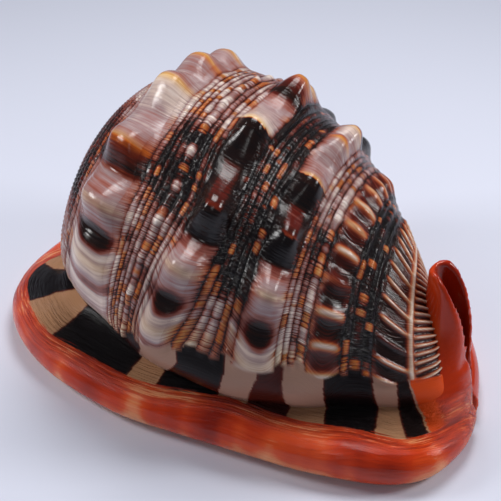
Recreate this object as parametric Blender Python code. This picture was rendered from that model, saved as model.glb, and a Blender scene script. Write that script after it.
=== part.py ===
"""A bullmouth helmet shell, a large sea snail's shell, resting mouth down on its lip and shield.

The shell is one grown piece, so it is one object. It is built the way it grew: a whorl coils about
an axis that runs from the low spire (-X) to the siphonal canal (+X), and carries spiral rows of
knobs. A thick rolled lip (-Y) and a flat shield (+Y) spread from its mouth as one base, the mouth is
a long toothed slit under it, and the canal turns up as an obliquely cut spout.
Lengths here are millimetres, angles are degrees, and the mesh is written in metres.
"""

import math

import bmesh
import bpy
import numpy as np

MM = 0.001

# Coiling axis: it leaves the apex and dips towards the canal.
AXIS_Y = 10.4
AXIS_Z = 43.5
AXIS_DATUM_X = -60.0
AXIS_DIP = math.tan(math.radians(10.1))
GROWTH_PER_TURN = 3.2
CREST_ANGLE = 90.0          # the top of the whorl; 0 is the back, 180 the front above the lip

# Stations across the whorl, from the apex to the foot of the canal. Each has its place along the
# axis at the crest, how far it drifts along the axis in a quarter turn, and its radius there.
STATIONS = (
    (-57.8, 0.0, 0.0),
    (-57.3, -0.4, 3.0),
    (-55.8, -1.2, 7.5),
    (-52.5, -2.9, 15.5),
    (-47.8, -4.4, 24.0),
    (-41.8, -4.9, 32.4),
    (-35.8, -3.9, 38.3),
    (-29.8, -1.4, 41.9),
    (-24.5, 2.2, 43.4),
    (-13.0, 4.4, 45.8),
    (-2.0, 6.3, 44.8),
    (8.0, 7.8, 43.0),
    (16.0, 9.0, 39.4),
    (24.0, 9.6, 36.0),
    (31.0, 10.4, 31.2),
    (37.0, 12.2, 26.8),
    (43.0, 14.8, 21.6),
    (47.6, 16.6, 16.4),
    (49.6, 15.6, 13.0),
    (50.6, 12.0, 8.8),
    (50.2, 6.0, 4.4),
    (49.8, 0.0, 0.0),
)

# Rows of knobs: axial place of the row at the crest, half width across the row, and the angle
# round the whorl and the height of each knob. Heights are for a whorl of the knob radius.
KNOB_ROWS = (
    (-27.0, 5.2, ((8.0, 6.4), (40.0, 5.2), (73.0, 5.8), (90.0, 6.4), (107.0, 6.4), (132.0, 6.4),
                  (151.0, 6.4), (168.0, 6.4))),
    (-1.0, 4.6, ((4.0, 7.0), (30.0, 7.2), (71.0, 5.4), (80.0, 9.2), (109.0, 7.0), (137.0, 7.0),
                 (155.0, 7.0), (173.0, 7.0))),
    (16.5, 3.8, ((18.0, 6.2), (44.0, 5.6), (74.0, 7.8), (90.0, 7.6), (113.0, 6.2), (134.0, 6.2),
                 (152.0, 6.2), (174.0, 6.2))),
)
KNOB_RADIUS = 45.0
KNOB_HALF_LENGTH = 6.0
ROW_SWELL = 0.15            # how high a row stands between its knobs, as a share of a knob
# A closer row of narrow ridges.
RIDGE_PLACE = 30.0
RIDGE_PITCH = 12.0
RIDGE_HEIGHT = 2.2
RIDGE_HALF_ACROSS = 3.4
RIDGE_HALF_ALONG = 2.4
# Knobs get lower from here, and fade out on the lip's smooth flank.
KNOBS_SINK = 148.0
KNOBS_SUNK = 0.55
KNOBS_END = 172.0
# The flank draws in above the lip by this share of the radius, then closes up inside the base.
WHORL_START = -20.0
GROWTH_END = 190.0
NECK_START = 178.0
NECK_END = 200.0
NECK = 0.14
FLANK_END = 205.0
HIDDEN_END = 340.0
UNDERSIDE = 10.3
UNDERSIDE_ROUNDING = 3.0

# Spire: the suture's radius at the crest, and how many earlier turns wind up to the apex.
SUTURE_RADIUS = 24.0
SPIRE_TURNS = 5.0
SPIRE_POWER = 1.6
SUTURE_DEPTH = 1.8
SUTURE_HALF = 0.25          # half width of the groove and of the bead row, in turns
BEAD_ROW_AT = 0.60
BEAD_ROW_HALF = 0.20
BEAD_HEIGHT = 1.6
BEADS_PER_TURN = 14.0
SPIRE_EDGE = -30.0          # the spire's relief ends at this place

# Plan outline of the base, seen from above: the rolled edge of the lip (-Y) and the shield (+Y).
FRONT_EDGE = (
    (-75.0, -8.0), (-75.0, -17.0), (-73.2, -26.0), (-68.3, -35.6), (-58.9, -44.2), (-47.0, -49.8),
    (-33.6, -52.9), (-14.2, -54.0), (4.8, -51.0), (22.8, -47.6), (40.6, -44.0), (56.9, -38.4),
    (66.7, -32.5), (72.6, -24.9), (75.0, -14.8), (75.0, -7.0), (72.8, 2.0),
)
BACK_EDGE = (
    (-75.0, -8.0), (-74.0, 2.0), (-69.5, 11.5), (-61.0, 23.0), (-48.0, 35.0), (-31.0, 46.0),
    (-8.0, 53.4), (14.0, 53.0), (34.0, 46.5), (51.0, 35.0), (64.0, 20.0), (72.8, 2.0),
)
EDGE_ROLL = 7.0             # radius of the rolled edge
LIP_TOP = 14.6              # height of the lip where the rolled edge passes into the flank
SHIELD_TOP = 9.0
BASE_HOLLOW = 2.2           # how far the face around the mouth stands off the table

# Mouth: a long slit in the base, from the spire end to the canal.
MOUTH_LINE = ((-50.0, -15.0), (-25.0, -16.5), (5.0, -13.5), (30.0, -8.0), (50.0, -2.0))
MOUTH_WIDTH = 10.5
MOUTH_ROOF = 21.0           # height of the ring of shell around the slit, inside the whorl
TEETH = 11
TOOTH_HEIGHT = 1.5

# Hollow inside the whorl: an ellipsoid.
HOLLOW_CENTRE = (-9.0, -3.0, 41.0)
HOLLOW_HALF = (37.0, 38.0, 31.0)

# Canal: a leaning column with a curved oblique mouth, and a channel down its middle.
CANAL = (                   # height, centre x and y, half widths along X and Y
    (1.0, 57.0, -6.0, 15.0, 16.0),
    (8.0, 58.0, -5.5, 14.6, 14.8),
    (16.0, 59.3, -2.8, 11.4, 12.2),
    (24.0, 59.6, 1.0, 8.4, 8.6),
    (32.0, 59.6, 3.2, 7.4, 6.2),
    (42.0, 58.8, 4.4, 6.6, 5.2),
    (54.0, 58.0, 4.8, 6.0, 4.8),
)
CANAL_MOUTH = (             # x and z along the edge of its mouth, from the tip down
    (46.0, 48.0), (51.5, 48.2), (54.2, 49.4), (56.4, 48.8), (58.6, 46.8), (60.8, 43.4), (62.8, 39.6),
    (64.6, 35.2), (65.8, 31.0), (66.6, 26.5), (67.8, 22.5), (74.0, 20.0),
)
CHANNEL = (                 # centre and radius along the channel, from the mouth of the shell up
    (30.0, -8.0, 12.0, 3.4), (46.0, -3.2, 9.5, 3.6), (56.0, 0.0, 10.5, 4.0),
    (60.6, 2.2, 17.5, 4.4), (60.8, 3.6, 28.0, 4.5), (59.4, 4.4, 40.0, 4.1), (57.6, 4.8, 58.0, 3.6),
)
CANAL_SLOT = 3.2


def smooth_step(x):
    """0 below 0, 1 above 1, and a smooth rise between."""
    x = np.clip(x, 0.0, 1.0)
    return x * x * (3.0 - 2.0 * x)


def curve_through(points, count):
    """Points evenly spread along a smooth curve through the given ones."""
    p = np.array(points, float)
    p = np.vstack([2 * p[0] - p[1], p, 2 * p[-1] - p[-2]])
    fine = []
    for a, b, c, d in zip(p[:-3], p[1:-2], p[2:-1], p[3:]):
        t = np.linspace(0.0, 1.0, 24, endpoint=False)[:, None]
        fine.append(0.5 * (2 * b + (c - a) * t + (2 * a - 5 * b + 4 * c - d) * t**2
                           + (3 * b - a - 3 * c + d) * t**3))
    fine = np.vstack(fine + [p[-2:-1]])
    run = np.r_[0.0, np.cumsum(np.linalg.norm(np.diff(fine, axis=0), axis=1))]
    at = np.linspace(0.0, run[-1], count)
    return np.stack([np.interp(at, run, fine[:, k]) for k in range(p.shape[1])], axis=-1)


def turn_growth(angle):
    """How much wider the whorl is at an angle than at the crest. It grows from the back over the
    top to the front, necks in behind the lip, and closes up under the base, out of sight."""
    grown = GROWTH_PER_TURN ** ((np.clip(angle, WHORL_START, GROWTH_END) - CREST_ANGLE) / 360.0)
    neck = 1.0 - NECK * smooth_step((angle - NECK_START) / (NECK_END - NECK_START))
    start = GROWTH_PER_TURN ** ((WHORL_START - CREST_ANGLE) / 360.0)
    under = smooth_step((angle - FLANK_END) / (HIDDEN_END - FLANK_END))
    return grown * neck * (1.0 - under) + start * under


def turn_drift(angle):
    """Quarter turns of drift along the axis, brought back to the start under the base."""
    under = smooth_step((angle - FLANK_END) / (HIDDEN_END - FLANK_END))
    start = (WHORL_START - CREST_ANGLE) / 90.0
    return (angle - CREST_ANGLE) / 90.0 * (1.0 - under) + start * under


def whorl_points(station, angle):
    """Places on the plain whorl, for arrays of station rows and angles."""
    place, drift, radius = station[..., 0], station[..., 1], station[..., 2]
    x = place + drift * turn_drift(angle)
    r = radius * turn_growth(angle)
    turn = np.radians(angle)
    axis_z = AXIS_Z - (x - AXIS_DATUM_X) * AXIS_DIP
    return np.stack([x, AXIS_Y + r * np.cos(turn), axis_z + r * np.sin(turn)], axis=-1)


def knob_relief(place, radius, angle):
    """Height of the knobs and ridges above the plain whorl."""
    grown = radius * turn_growth(angle)
    relief = np.zeros_like(angle)
    for row_place, half_across, knobs in KNOB_ROWS:
        across = np.exp(-(((place - row_place) / half_across) ** 2))
        swell = ROW_SWELL * np.mean([height for _, height in knobs])
        peaks = [height * np.exp(-((np.radians(angle - at) * grown / KNOB_HALF_LENGTH) ** 2))
                 for at, height in knobs]
        relief += grown / KNOB_RADIUS * across * (swell + (1.0 - ROW_SWELL) * np.max(peaks, axis=0))
    across = np.exp(-(((place - RIDGE_PLACE) / RIDGE_HALF_ACROSS) ** 2))
    off = np.radians(angle - np.round(angle / RIDGE_PITCH) * RIDGE_PITCH)
    along = np.exp(-((off * grown / RIDGE_HALF_ALONG) ** 2))
    relief += RIDGE_HEIGHT * across * (ROW_SWELL + (1.0 - ROW_SWELL) * along)
    sunk = 1.0 - KNOBS_SUNK * smooth_step((angle - KNOBS_SINK) / (KNOBS_END - 2.0 - KNOBS_SINK))
    return relief * sunk * (1.0 - smooth_step((angle - KNOBS_END) / 12.0))


def spire_relief(place, radius, angle):
    """Grooves of the earlier turns' suture winding up to the apex, with a bead of knobs beside it."""
    rho = np.maximum(radius * turn_growth(np.minimum(angle, 200.0)), 0.05)
    wound = SPIRE_TURNS * ((rho / SUTURE_RADIUS) ** (1.0 / SPIRE_POWER) - 1.0)
    phase = wound - (angle - CREST_ANGLE) / 360.0
    turn = np.round(phase)
    off = phase - turn
    size = np.clip(rho / SUTURE_RADIUS, 0.0, 1.0)
    last = np.where(turn == 0, 1.0 - smooth_step((angle - 185.0) / 20.0), 1.0) * (turn <= 0)
    groove = -SUTURE_DEPTH * np.exp(-((off / SUTURE_HALF) ** 2)) * last
    beside = (phase - np.floor(phase) - BEAD_ROW_AT) / BEAD_ROW_HALF
    bead_row = np.exp(-(beside**2)) * (phase < 0.0)
    bead = 0.5 + 0.5 * np.cos(np.radians(angle) * BEADS_PER_TURN + 1.0)
    return (groove + BEAD_HEIGHT * bead_row * (0.4 + 0.6 * bead)) * size * (place < SPIRE_EDGE)


def solid(name, vertices, faces):
    """A closed mesh object from points in millimetres."""
    mesh = bpy.data.meshes.new(name)
    mesh.from_pydata([tuple(v * MM) for v in vertices], [], faces)
    obj = bpy.data.objects.new(name, mesh)
    bpy.context.scene.collection.objects.link(obj)
    build = bmesh.new()
    build.from_mesh(mesh)
    bmesh.ops.recalc_face_normals(build, faces=build.faces)
    build.to_mesh(mesh)
    build.free()
    return obj


def ring_faces(rings, count, closed_loop=False):
    """Quads between rings of points that follow one another, each ring closed on itself."""
    faces = []
    last = rings if closed_loop else rings - 1
    for i in range(last):
        a, b = i * count, ((i + 1) % rings) * count
        for j in range(count):
            k = (j + 1) % count
            faces.append((a + j, a + k, b + k, b + j))
    return faces


def caps(rings):
    """End faces for a stack of equal rings."""
    count = len(rings[0])
    last = (len(rings) - 1) * count
    return [tuple(range(count))[::-1], tuple(last + j for j in range(count))]


def make_whorl():
    """The coiled whorl and spire as one closed surface, from the apex to the foot of the canal."""
    stations = np.vstack([curve_through(STATIONS[:8], 19)[1:-1], curve_through(STATIONS[7:], 32)[:-1]])
    angles = np.r_[np.linspace(WHORL_START, FLANK_END + 1.0, 56), np.linspace(226.0, 320.0, 5)]
    station, angle = np.broadcast_arrays(stations[:, None, :], angles[None, :, None])
    angle = angle[..., 0].copy()
    points = whorl_points(station, angle)
    centre = np.stack([points[..., 0], np.full(angle.shape, AXIS_Y),
                       AXIS_Z - (points[..., 0] - AXIS_DATUM_X) * AXIS_DIP], axis=-1)
    along = np.gradient(points, axis=0)
    around = np.gradient(points, axis=1)
    normal = np.cross(along, around)
    normal /= np.linalg.norm(normal, axis=-1, keepdims=True)
    outward = np.sign(np.sum(normal * (points - centre), axis=-1, keepdims=True))
    place, radius = station[..., 0], station[..., 2]
    relief = knob_relief(place, radius, angle) + spire_relief(place, radius, angle)
    points = points + normal * outward * relief[..., None]
    low = UNDERSIDE - points[..., 2]
    points[..., 2] += 0.5 * (low + np.hypot(low, UNDERSIDE_ROUNDING)) - 0.4
    rows, count = angle.shape
    ends = [points[0].mean(axis=0) - (0.4, 0.0, 0.0), points[-1].mean(axis=0)]
    vertices = list(points.reshape(-1, 3)) + [ends[0], ends[1]]
    faces = ring_faces(rows, count)
    apex, foot = rows * count, rows * count + 1
    for j in range(count):
        k = (j + 1) % count
        faces.append((apex, k, j))
        faces.append((foot, (rows - 1) * count + j, (rows - 1) * count + k))
    return solid("shell", vertices, faces)


def base_rings(count):
    """Outer edge, mouth edge and height of the top for points around the base."""
    half = count // 2
    front = curve_through(FRONT_EDGE, half + 1)[:-1]
    back = curve_through(BACK_EDGE, half + 1)[::-1][:-1]
    edge = np.vstack([front, back])
    is_front = np.arange(count) < half
    run = np.r_[np.arange(half), half - np.arange(half)] / half
    share = 0.5 - 0.5 * np.cos(math.pi * run)
    line = curve_through(MOUTH_LINE, 200)
    x = line[0, 0] + np.ptp(line[:, 0]) * share
    middle = np.interp(x, line[:, 0], line[:, 1])
    ends = np.sqrt(np.clip(1.0 - (2.0 * share - 1.0) ** 4, 0.0, 1.0))
    side = np.where(is_front, -1.0, 1.0)
    wave = 0.5 + 0.5 * np.cos(2.0 * math.pi * TEETH * share)
    half_width = 0.5 * MOUTH_WIDTH * ends
    mouth = np.stack([x, middle + side * half_width], axis=-1)
    top = np.where(is_front, LIP_TOP, SHIELD_TOP)
    blend = smooth_step(share / 0.14) * smooth_step((1.0 - share) / 0.2)
    top = SHIELD_TOP + 2.0 + (top - SHIELD_TOP - 2.0) * blend
    return edge, mouth, top, wave * ends, side


def make_base():
    """Lip and shield: a ring of shell around the mouth, with a rolled outer edge and teeth."""
    count = 90
    edge, mouth, top, wave, side = base_rings(count)
    inward = mouth - edge
    reach = np.linalg.norm(inward, axis=1)
    inward /= reach[:, None]
    rings = []

    def ring(depth, height):
        """Points at a depth in from the edge and a height."""
        at = edge + inward * np.broadcast_to(depth, (count,))[:, None]
        rings.append(np.column_stack([at, np.broadcast_to(height, (count,))]))

    roll = np.minimum(EDGE_ROLL, top / 2.0)
    for a in np.radians((-90.0, -45.0, 0.0, 45.0)):
        ring(roll * (1.0 - math.cos(a)), roll * (1.0 + math.sin(a)))
    ring(roll, 2.0 * roll)
    span = reach - roll
    ring(roll + 0.25 * span, top + 0.6)
    ring(roll + 0.5 * span, top + 4.0)
    tooth = TOOTH_HEIGHT * wave
    ring(roll + 0.85 * span, MOUTH_ROOF)
    ring(reach, MOUTH_ROOF - 3.0)
    ring(reach + tooth, 9.0)
    ring(reach + tooth, 5.5)
    ring(reach - 1.4 + 0.8 * tooth, BASE_HOLLOW + 0.9 - 0.5 * tooth)
    ring(roll + 0.85 * span - 1.0, BASE_HOLLOW - 0.6 * tooth)
    ring(roll + 0.5 * span, 0.7 * BASE_HOLLOW)
    ring(roll + 0.2 * span, 0.0)
    vertices = np.vstack(rings)
    return solid("base_ring", vertices, ring_faces(len(rings), count, closed_loop=True))


def make_canal():
    """The canal's column, capped at both ends, before its mouth is cut."""
    count = 24
    turn = np.linspace(0.0, 2.0 * math.pi, count, endpoint=False)
    rings = []
    for height, x, y, half_x, half_y in curve_through(CANAL, 9):
        rings.append(np.column_stack([x + half_x * np.cos(turn), y + half_y * np.sin(turn),
                                      np.full(count, height)]))
    return solid("canal_column", np.vstack(rings), ring_faces(len(rings), count) + caps(rings))


def make_mouth_cut():
    """Everything above the curved edge that the canal ends in."""
    edge = curve_through(CANAL_MOUTH, 12)
    outline = list(edge) + [np.array([84.0, 20.0]), np.array([84.0, 62.0]), np.array([46.0, 62.0])]
    rings = [[(x, y, z) for x, z in outline] for y in (-16.0, 26.0)]
    vertices = [np.array(v) for v in rings[0] + rings[1]]
    return solid("mouth_cut", vertices, ring_faces(2, len(outline)) + caps(rings))


def make_channel():
    """The channel: from the shell's mouth up the middle of the column."""
    count = 14
    turn = np.linspace(0.0, 2.0 * math.pi, count, endpoint=False)
    path = curve_through(CHANNEL, 10)
    rings = []
    for i, (x, y, z, r) in enumerate(path):
        ahead = path[min(i + 1, len(path) - 1), :3] - path[max(i - 1, 0), :3]
        ahead /= np.linalg.norm(ahead)
        side = np.cross(ahead, (0.0, 1.0, 0.0))
        side /= np.linalg.norm(side)
        other = np.cross(ahead, side)
        rings.append(np.array([x, y, z]) + r * (1.25 * np.cos(turn)[:, None] * side
                                                + 0.8 * np.sin(turn)[:, None] * other))
    return solid("channel", np.vstack(rings), ring_faces(len(rings), count) + caps(rings))


def make_slot():
    """The slit from the channel's outer side down to the mouth of the shell."""
    profile = ((44.0, -4.0), (84.0, -4.0), (84.0, 24.0), (62.5, 24.0), (62.5, 15.0), (56.0, 9.5),
               (44.0, 9.5))
    rings = []
    for shift in (-0.5 * CANAL_SLOT, 0.5 * CANAL_SLOT):
        rings.append([np.array([x, 0.8 + 0.13 * max(z, 0.0) - 0.2 * max(0.0, 56.0 - x) + shift, z])
                      for x, z in profile])
    return solid("slot", rings[0] + rings[1], ring_faces(2, len(profile)) + caps(rings))


def make_cavity():
    """The hollow inside the whorl, where the animal lived, opening down through the mouth."""
    centre = np.array(HOLLOW_CENTRE)
    half = np.array(HOLLOW_HALF)
    count = 18
    turn = np.linspace(0.0, 2.0 * math.pi, count, endpoint=False)
    rings = []
    for tilt in np.radians(np.linspace(-75.0, 75.0, 9)):
        rings.append(centre + half * np.column_stack([
            np.full(count, math.sin(tilt)), math.cos(tilt) * np.cos(turn),
            math.cos(tilt) * np.sin(turn)]))
    return solid("cavity", np.vstack(rings), ring_faces(len(rings), count) + caps(rings))


def make_throat():
    """The way up from the slit into the hollow."""
    line = curve_through(MOUTH_LINE, 12)
    share = np.linspace(0.0, 1.0, 12)
    half = 0.5 * (MOUTH_WIDTH + 3.0) * np.sqrt(np.clip(1.0 - (2.0 * share - 1.0) ** 4, 0.08, 1.0))
    outline = np.vstack([line - np.column_stack([0 * half, half]),
                         (line + np.column_stack([0 * half, half]))[::-1]])
    rings = [np.column_stack([outline, np.full(len(outline), z)]) for z in (-4.0, 30.0)]
    return solid("throat", np.vstack(rings), ring_faces(2, len(outline)) + caps(rings))


def join(target, tool, operation):
    """Joins or cuts target with tool, which stays in the file as a hidden guide."""
    modifier = target.modifiers.new(f"{operation.lower()}_{tool.name}", "BOOLEAN")
    modifier.operation = operation
    modifier.solver = "EXACT"
    modifier.object = tool
    tool.hide_render = True
    tool.hide_viewport = False
    tool.display_type = "WIRE"


def shell_material():
    """Polished shell: russet brown over cream, and glossy."""
    material = bpy.data.materials.new("polished_shell")
    material.use_nodes = True
    shader = material.node_tree.nodes["Principled BSDF"]
    shader.inputs["Base Color"].default_value = (0.30, 0.10, 0.05, 1.0)
    shader.inputs["Roughness"].default_value = 0.25
    shader.inputs["Metallic"].default_value = 0.0
    return material


def main():
    """Builds the shell as one object."""
    for obj in list(bpy.data.objects):
        bpy.data.objects.remove(obj)
    shell = make_whorl()
    column = make_canal()
    join(column, make_mouth_cut(), "DIFFERENCE")
    join(shell, make_cavity(), "DIFFERENCE")
    join(shell, make_throat(), "DIFFERENCE")
    join(shell, make_base(), "UNION")
    join(shell, column, "UNION")
    join(shell, make_channel(), "DIFFERENCE")
    join(shell, make_slot(), "DIFFERENCE")
    shell.data.materials.append(shell_material())
    shell.data.shade_smooth()


main()
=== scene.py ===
"""Bullmouth helmet shell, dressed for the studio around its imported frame.

The shell is one grown piece. It is made here in two overlapping parts that ride on one body: the
coiled whorl with its knobs and cords, and the enamelled base with lip, shield and canal.
Lengths are millimetres unless a name says otherwise, and angles are degrees.
"""

import logging
import math
from dataclasses import dataclass, field
from enum import Enum
from typing import Any

import bpy
import numpy as np
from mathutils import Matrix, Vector
from mathutils.kdtree import KDTree

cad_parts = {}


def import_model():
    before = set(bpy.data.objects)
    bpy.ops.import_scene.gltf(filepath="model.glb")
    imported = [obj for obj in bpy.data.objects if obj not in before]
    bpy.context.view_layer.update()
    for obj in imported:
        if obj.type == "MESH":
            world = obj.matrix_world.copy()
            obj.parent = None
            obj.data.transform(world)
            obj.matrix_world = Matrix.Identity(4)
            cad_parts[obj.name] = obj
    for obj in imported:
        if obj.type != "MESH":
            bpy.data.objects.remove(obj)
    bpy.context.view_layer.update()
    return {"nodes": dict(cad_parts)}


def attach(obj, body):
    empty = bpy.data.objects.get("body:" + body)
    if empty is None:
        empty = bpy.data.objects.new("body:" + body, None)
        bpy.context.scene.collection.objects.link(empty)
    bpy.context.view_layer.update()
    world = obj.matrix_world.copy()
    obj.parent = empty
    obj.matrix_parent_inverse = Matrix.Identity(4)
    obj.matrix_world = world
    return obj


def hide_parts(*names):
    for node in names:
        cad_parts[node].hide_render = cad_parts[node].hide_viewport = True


MM = 0.001
LOG = logging.getLogger("helmet_shell")
Array = np.ndarray


class Shade(Enum):
    """Named colours of the shell and the studio, as sRGB hex values."""

    # The whorl, from pale to black.
    IVORY = "E8DAD2"
    CREAM = "D2BAAE"
    MAUVE = "A08686"
    ROSE = "93574C"
    OXBLOOD = "581A12"
    UMBER = "28140F"
    PITCH = "120C0D"
    # Its golden cords and warm edges.
    HONEY = "F2D6A8"
    GOLD = "C8924A"
    AMBER = "B85A1E"
    RUSSET = "6E2410"
    # The bars, the enamel and the studio.
    TAN = "AC8672"
    SAND = "BC8A66"
    CORAL = "DC4E1C"
    VERMILION = "C4360E"
    GARNET = "8C1E08"
    APRICOT = "F29A66"
    TOOTH = "F6E4D2"
    INSIDE = "C88A62"
    FLOOR = "D8DBEA"


def linear(shade: Shade) -> tuple[float, float, float, float]:
    """Turns a named sRGB colour to linear.

    Args:
        shade: the colour.

    Returns:
        Red, green, blue and alpha for a shader socket.
    """
    channels = [int(shade.value[i:i + 2], 16) / 255.0 for i in (0, 2, 4)]
    red, green, blue = (
        c / 12.92 if c <= 0.04045 else ((c + 0.055) / 1.055) ** 2.4 for c in channels)
    return red, green, blue, 1.0


def smooth_step(x: Array) -> Array:
    """0 below 0, 1 above 1, and a smooth rise between."""
    x = np.clip(x, 0.0, 1.0)
    return x * x * (3.0 - 2.0 * x)


def bump_at(x: Array, centre: float | Array, half: float, power: float = 2) -> Array:
    """A bump of height 1 at centre and a third at half away. A higher power has a flatter top."""
    return np.exp(-(np.abs((x - centre) / half) ** power))


def read_off(stops: tuple, x: Array) -> Array:
    """The value at x on the straight lines between stops."""
    return np.interp(x, *np.array(stops).T)


def from_nearest(x: Array, first: float, pitch: float) -> Array:
    """How far x is past the nearest of a row of places, one at first and the rest a pitch apart."""
    step = (x - first) / pitch
    return (step - np.round(step)) * pitch


def curve_through(points: tuple, count: int) -> Array:
    """Spreads points evenly along a smooth curve.

    Args:
        points: the points that the curve passes.
        count: how many points come back.

    Returns:
        One row for each point.
    """
    p = np.array(points, float)
    p = np.vstack([2 * p[0] - p[1], p, 2 * p[-1] - p[-2]])
    t = np.linspace(0.0, 1.0, 24, endpoint=False)[:, None]
    fine = [0.5 * (2 * b + (c - a) * t + (2 * a - 5 * b + 4 * c - d) * t**2
                   + (3 * b - a - 3 * c + d) * t**3)
            for a, b, c, d in zip(p[:-3], p[1:-2], p[2:-1], p[3:])]
    fine = np.vstack(fine + [p[-2:-1]])
    run = np.r_[0.0, np.cumsum(np.linalg.norm(np.diff(fine, axis=0), axis=1))]
    at = np.linspace(0.0, run[-1], count)
    return np.stack([np.interp(at, run, fine[:, k]) for k in range(p.shape[1])], axis=-1)


class Workbench:
    """Steps that every piece goes through: grids, cuts, joins and the last clean-up."""

    @staticmethod
    def pick(*objects: bpy.types.Object) -> None:
        """Selects these objects alone, the first one active."""
        bpy.ops.object.select_all(action="DESELECT")
        for obj in objects:
            obj.select_set(True)
        bpy.context.view_layer.objects.active = objects[0]

    @classmethod
    def grid(cls, name: str, rows: int, columns: int) -> tuple[bpy.types.Object, Array, Array]:
        """Adds a flat grid primitive that is to be wrapped into a shape.

        Args:
            name: the object's name.
            rows: points along the first way.
            columns: points along the second way.

        Returns:
            The object, and the row and the column number of each of its vertices.
        """
        bpy.ops.object.select_all(action="DESELECT")
        bpy.ops.mesh.primitive_grid_add(
            x_subdivisions=rows - 1, y_subdivisions=columns - 1, size=2.0)
        obj = bpy.context.object
        obj.name = obj.data.name = name
        flat = np.empty(len(obj.data.vertices) * 3)
        obj.data.vertices.foreach_get("co", flat)
        flat = flat.reshape(-1, 3)
        row = np.rint((flat[:, 0] + 1.0) / 2.0 * (rows - 1)).astype(int)
        column = np.rint((flat[:, 1] + 1.0) / 2.0 * (columns - 1)).astype(int)
        return obj, row, column

    @staticmethod
    def shape(obj: bpy.types.Object, points: Array) -> None:
        """Moves an object's vertices to points in millimetres."""
        obj.data.vertices.foreach_set("co", (points * MM).astype(np.float32).ravel())
        obj.data.update()

    @staticmethod
    def points(obj: bpy.types.Object) -> Array:
        """The places of an object's vertices, in millimetres."""
        flat = np.empty(len(obj.data.vertices) * 3)
        obj.data.vertices.foreach_get("co", flat)
        return flat.reshape(-1, 3) / MM

    @staticmethod
    def mark(obj: bpy.types.Object, name: str, values: Array) -> None:
        """Stores one number for each vertex, for the materials to read."""
        layer = obj.data.attributes.new(name, "FLOAT", "POINT")
        layer.data.foreach_set("value", values.astype(np.float32))

    @classmethod
    def close(cls, obj: bpy.types.Object, gap: float = 0.002) -> None:
        """Merges seams and poles, and turns the faces outwards."""
        cls.pick(obj)
        bpy.ops.object.mode_set(mode="EDIT")
        bpy.ops.mesh.select_all(action="SELECT")
        bpy.ops.mesh.remove_doubles(threshold=gap * MM)
        bpy.ops.mesh.normals_make_consistent(inside=False)
        bpy.ops.object.mode_set(mode="OBJECT")

    @classmethod
    def fill_ends(cls, obj: bpy.types.Object) -> None:
        """Closes every open rim with a face."""
        cls.pick(obj)
        bpy.ops.object.mode_set(mode="EDIT")
        bpy.ops.mesh.select_all(action="DESELECT")
        bpy.ops.mesh.select_mode(type="EDGE")
        bpy.ops.mesh.select_non_manifold()
        bpy.ops.mesh.edge_face_add()
        bpy.ops.mesh.select_all(action="SELECT")
        bpy.ops.mesh.normals_make_consistent(inside=False)
        bpy.ops.object.mode_set(mode="OBJECT")

    @classmethod
    def merge(cls, obj: bpy.types.Object, tool: bpy.types.Object, operation: str) -> None:
        """Joins or cuts an object with a tool, and deletes the tool."""
        cls.pick(obj)
        modifier = obj.modifiers.new(operation.lower(), "BOOLEAN")
        modifier.operation = operation
        modifier.solver = "EXACT"
        modifier.object = tool
        modifier.material_mode = "TRANSFER"
        bpy.ops.object.modifier_apply(modifier=modifier.name)
        bpy.data.objects.remove(tool)

    @classmethod
    def tube(cls, name: str, rings: list[Array]) -> bpy.types.Object:
        """Makes a closed solid through a stack of equal rings of points."""
        count = len(rings[0])
        obj, row, column = cls.grid(name, len(rings), count + 1)
        cls.shape(obj, np.array(rings)[row, column % count])
        cls.close(obj)
        cls.fill_ends(obj)
        return obj


class Paint:
    """One material's node tree, and the one way to add a node to it."""

    # The Mix node repeats its socket names for each kind of data, so its colours go by number.
    MIX_COLOUR = {"A": 6, "B": 7}

    def __init__(self, name: str) -> None:
        """Starts a material with its Principled shader."""
        self.material = bpy.data.materials.new(name)
        self.material.use_nodes = True
        self.tree = self.material.node_tree
        self.shader = self.tree.nodes["Principled BSDF"]

    def add(self, kind: str, links: dict[Any, Any] | None = None, ramp: tuple = (),
            **settings: Any) -> bpy.types.Node:
        """Adds a node with its settings and links.

        Args:
            kind: the node's type, without the ShaderNode that each begins with.
            links: a value, a node or a socket for each input, by name or number.
            ramp: places and shades of a colour ramp.
            settings: the node's own properties.

        Returns:
            The node. A node given as a link stands for its first output.
        """
        node = self.tree.nodes.new("ShaderNode" + kind)
        for key, value in settings.items():
            setattr(node, key, value)
        self.link(node, links or {})
        if ramp:
            stops = node.color_ramp.elements
            while len(stops) < len(ramp):
                stops.new(1.0)
            for stop, (place, shade) in zip(stops, ramp):
                stop.position = place
                stop.color = linear(shade)
        return node

    def link(self, node: bpy.types.Node, links: dict[Any, Any]) -> None:
        """Sets or links inputs of a node."""
        for key, value in links.items():
            socket = node.inputs[self.MIX_COLOUR.get(key, key) if node.type == "MIX" else key]
            if isinstance(value, bpy.types.Node):
                value = value.outputs[2 if value.type == "MIX" else 0]
            if isinstance(value, bpy.types.NodeSocket):
                self.tree.links.new(value, socket)
            else:
                socket.default_value = linear(value) if isinstance(value, Shade) else value


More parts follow.
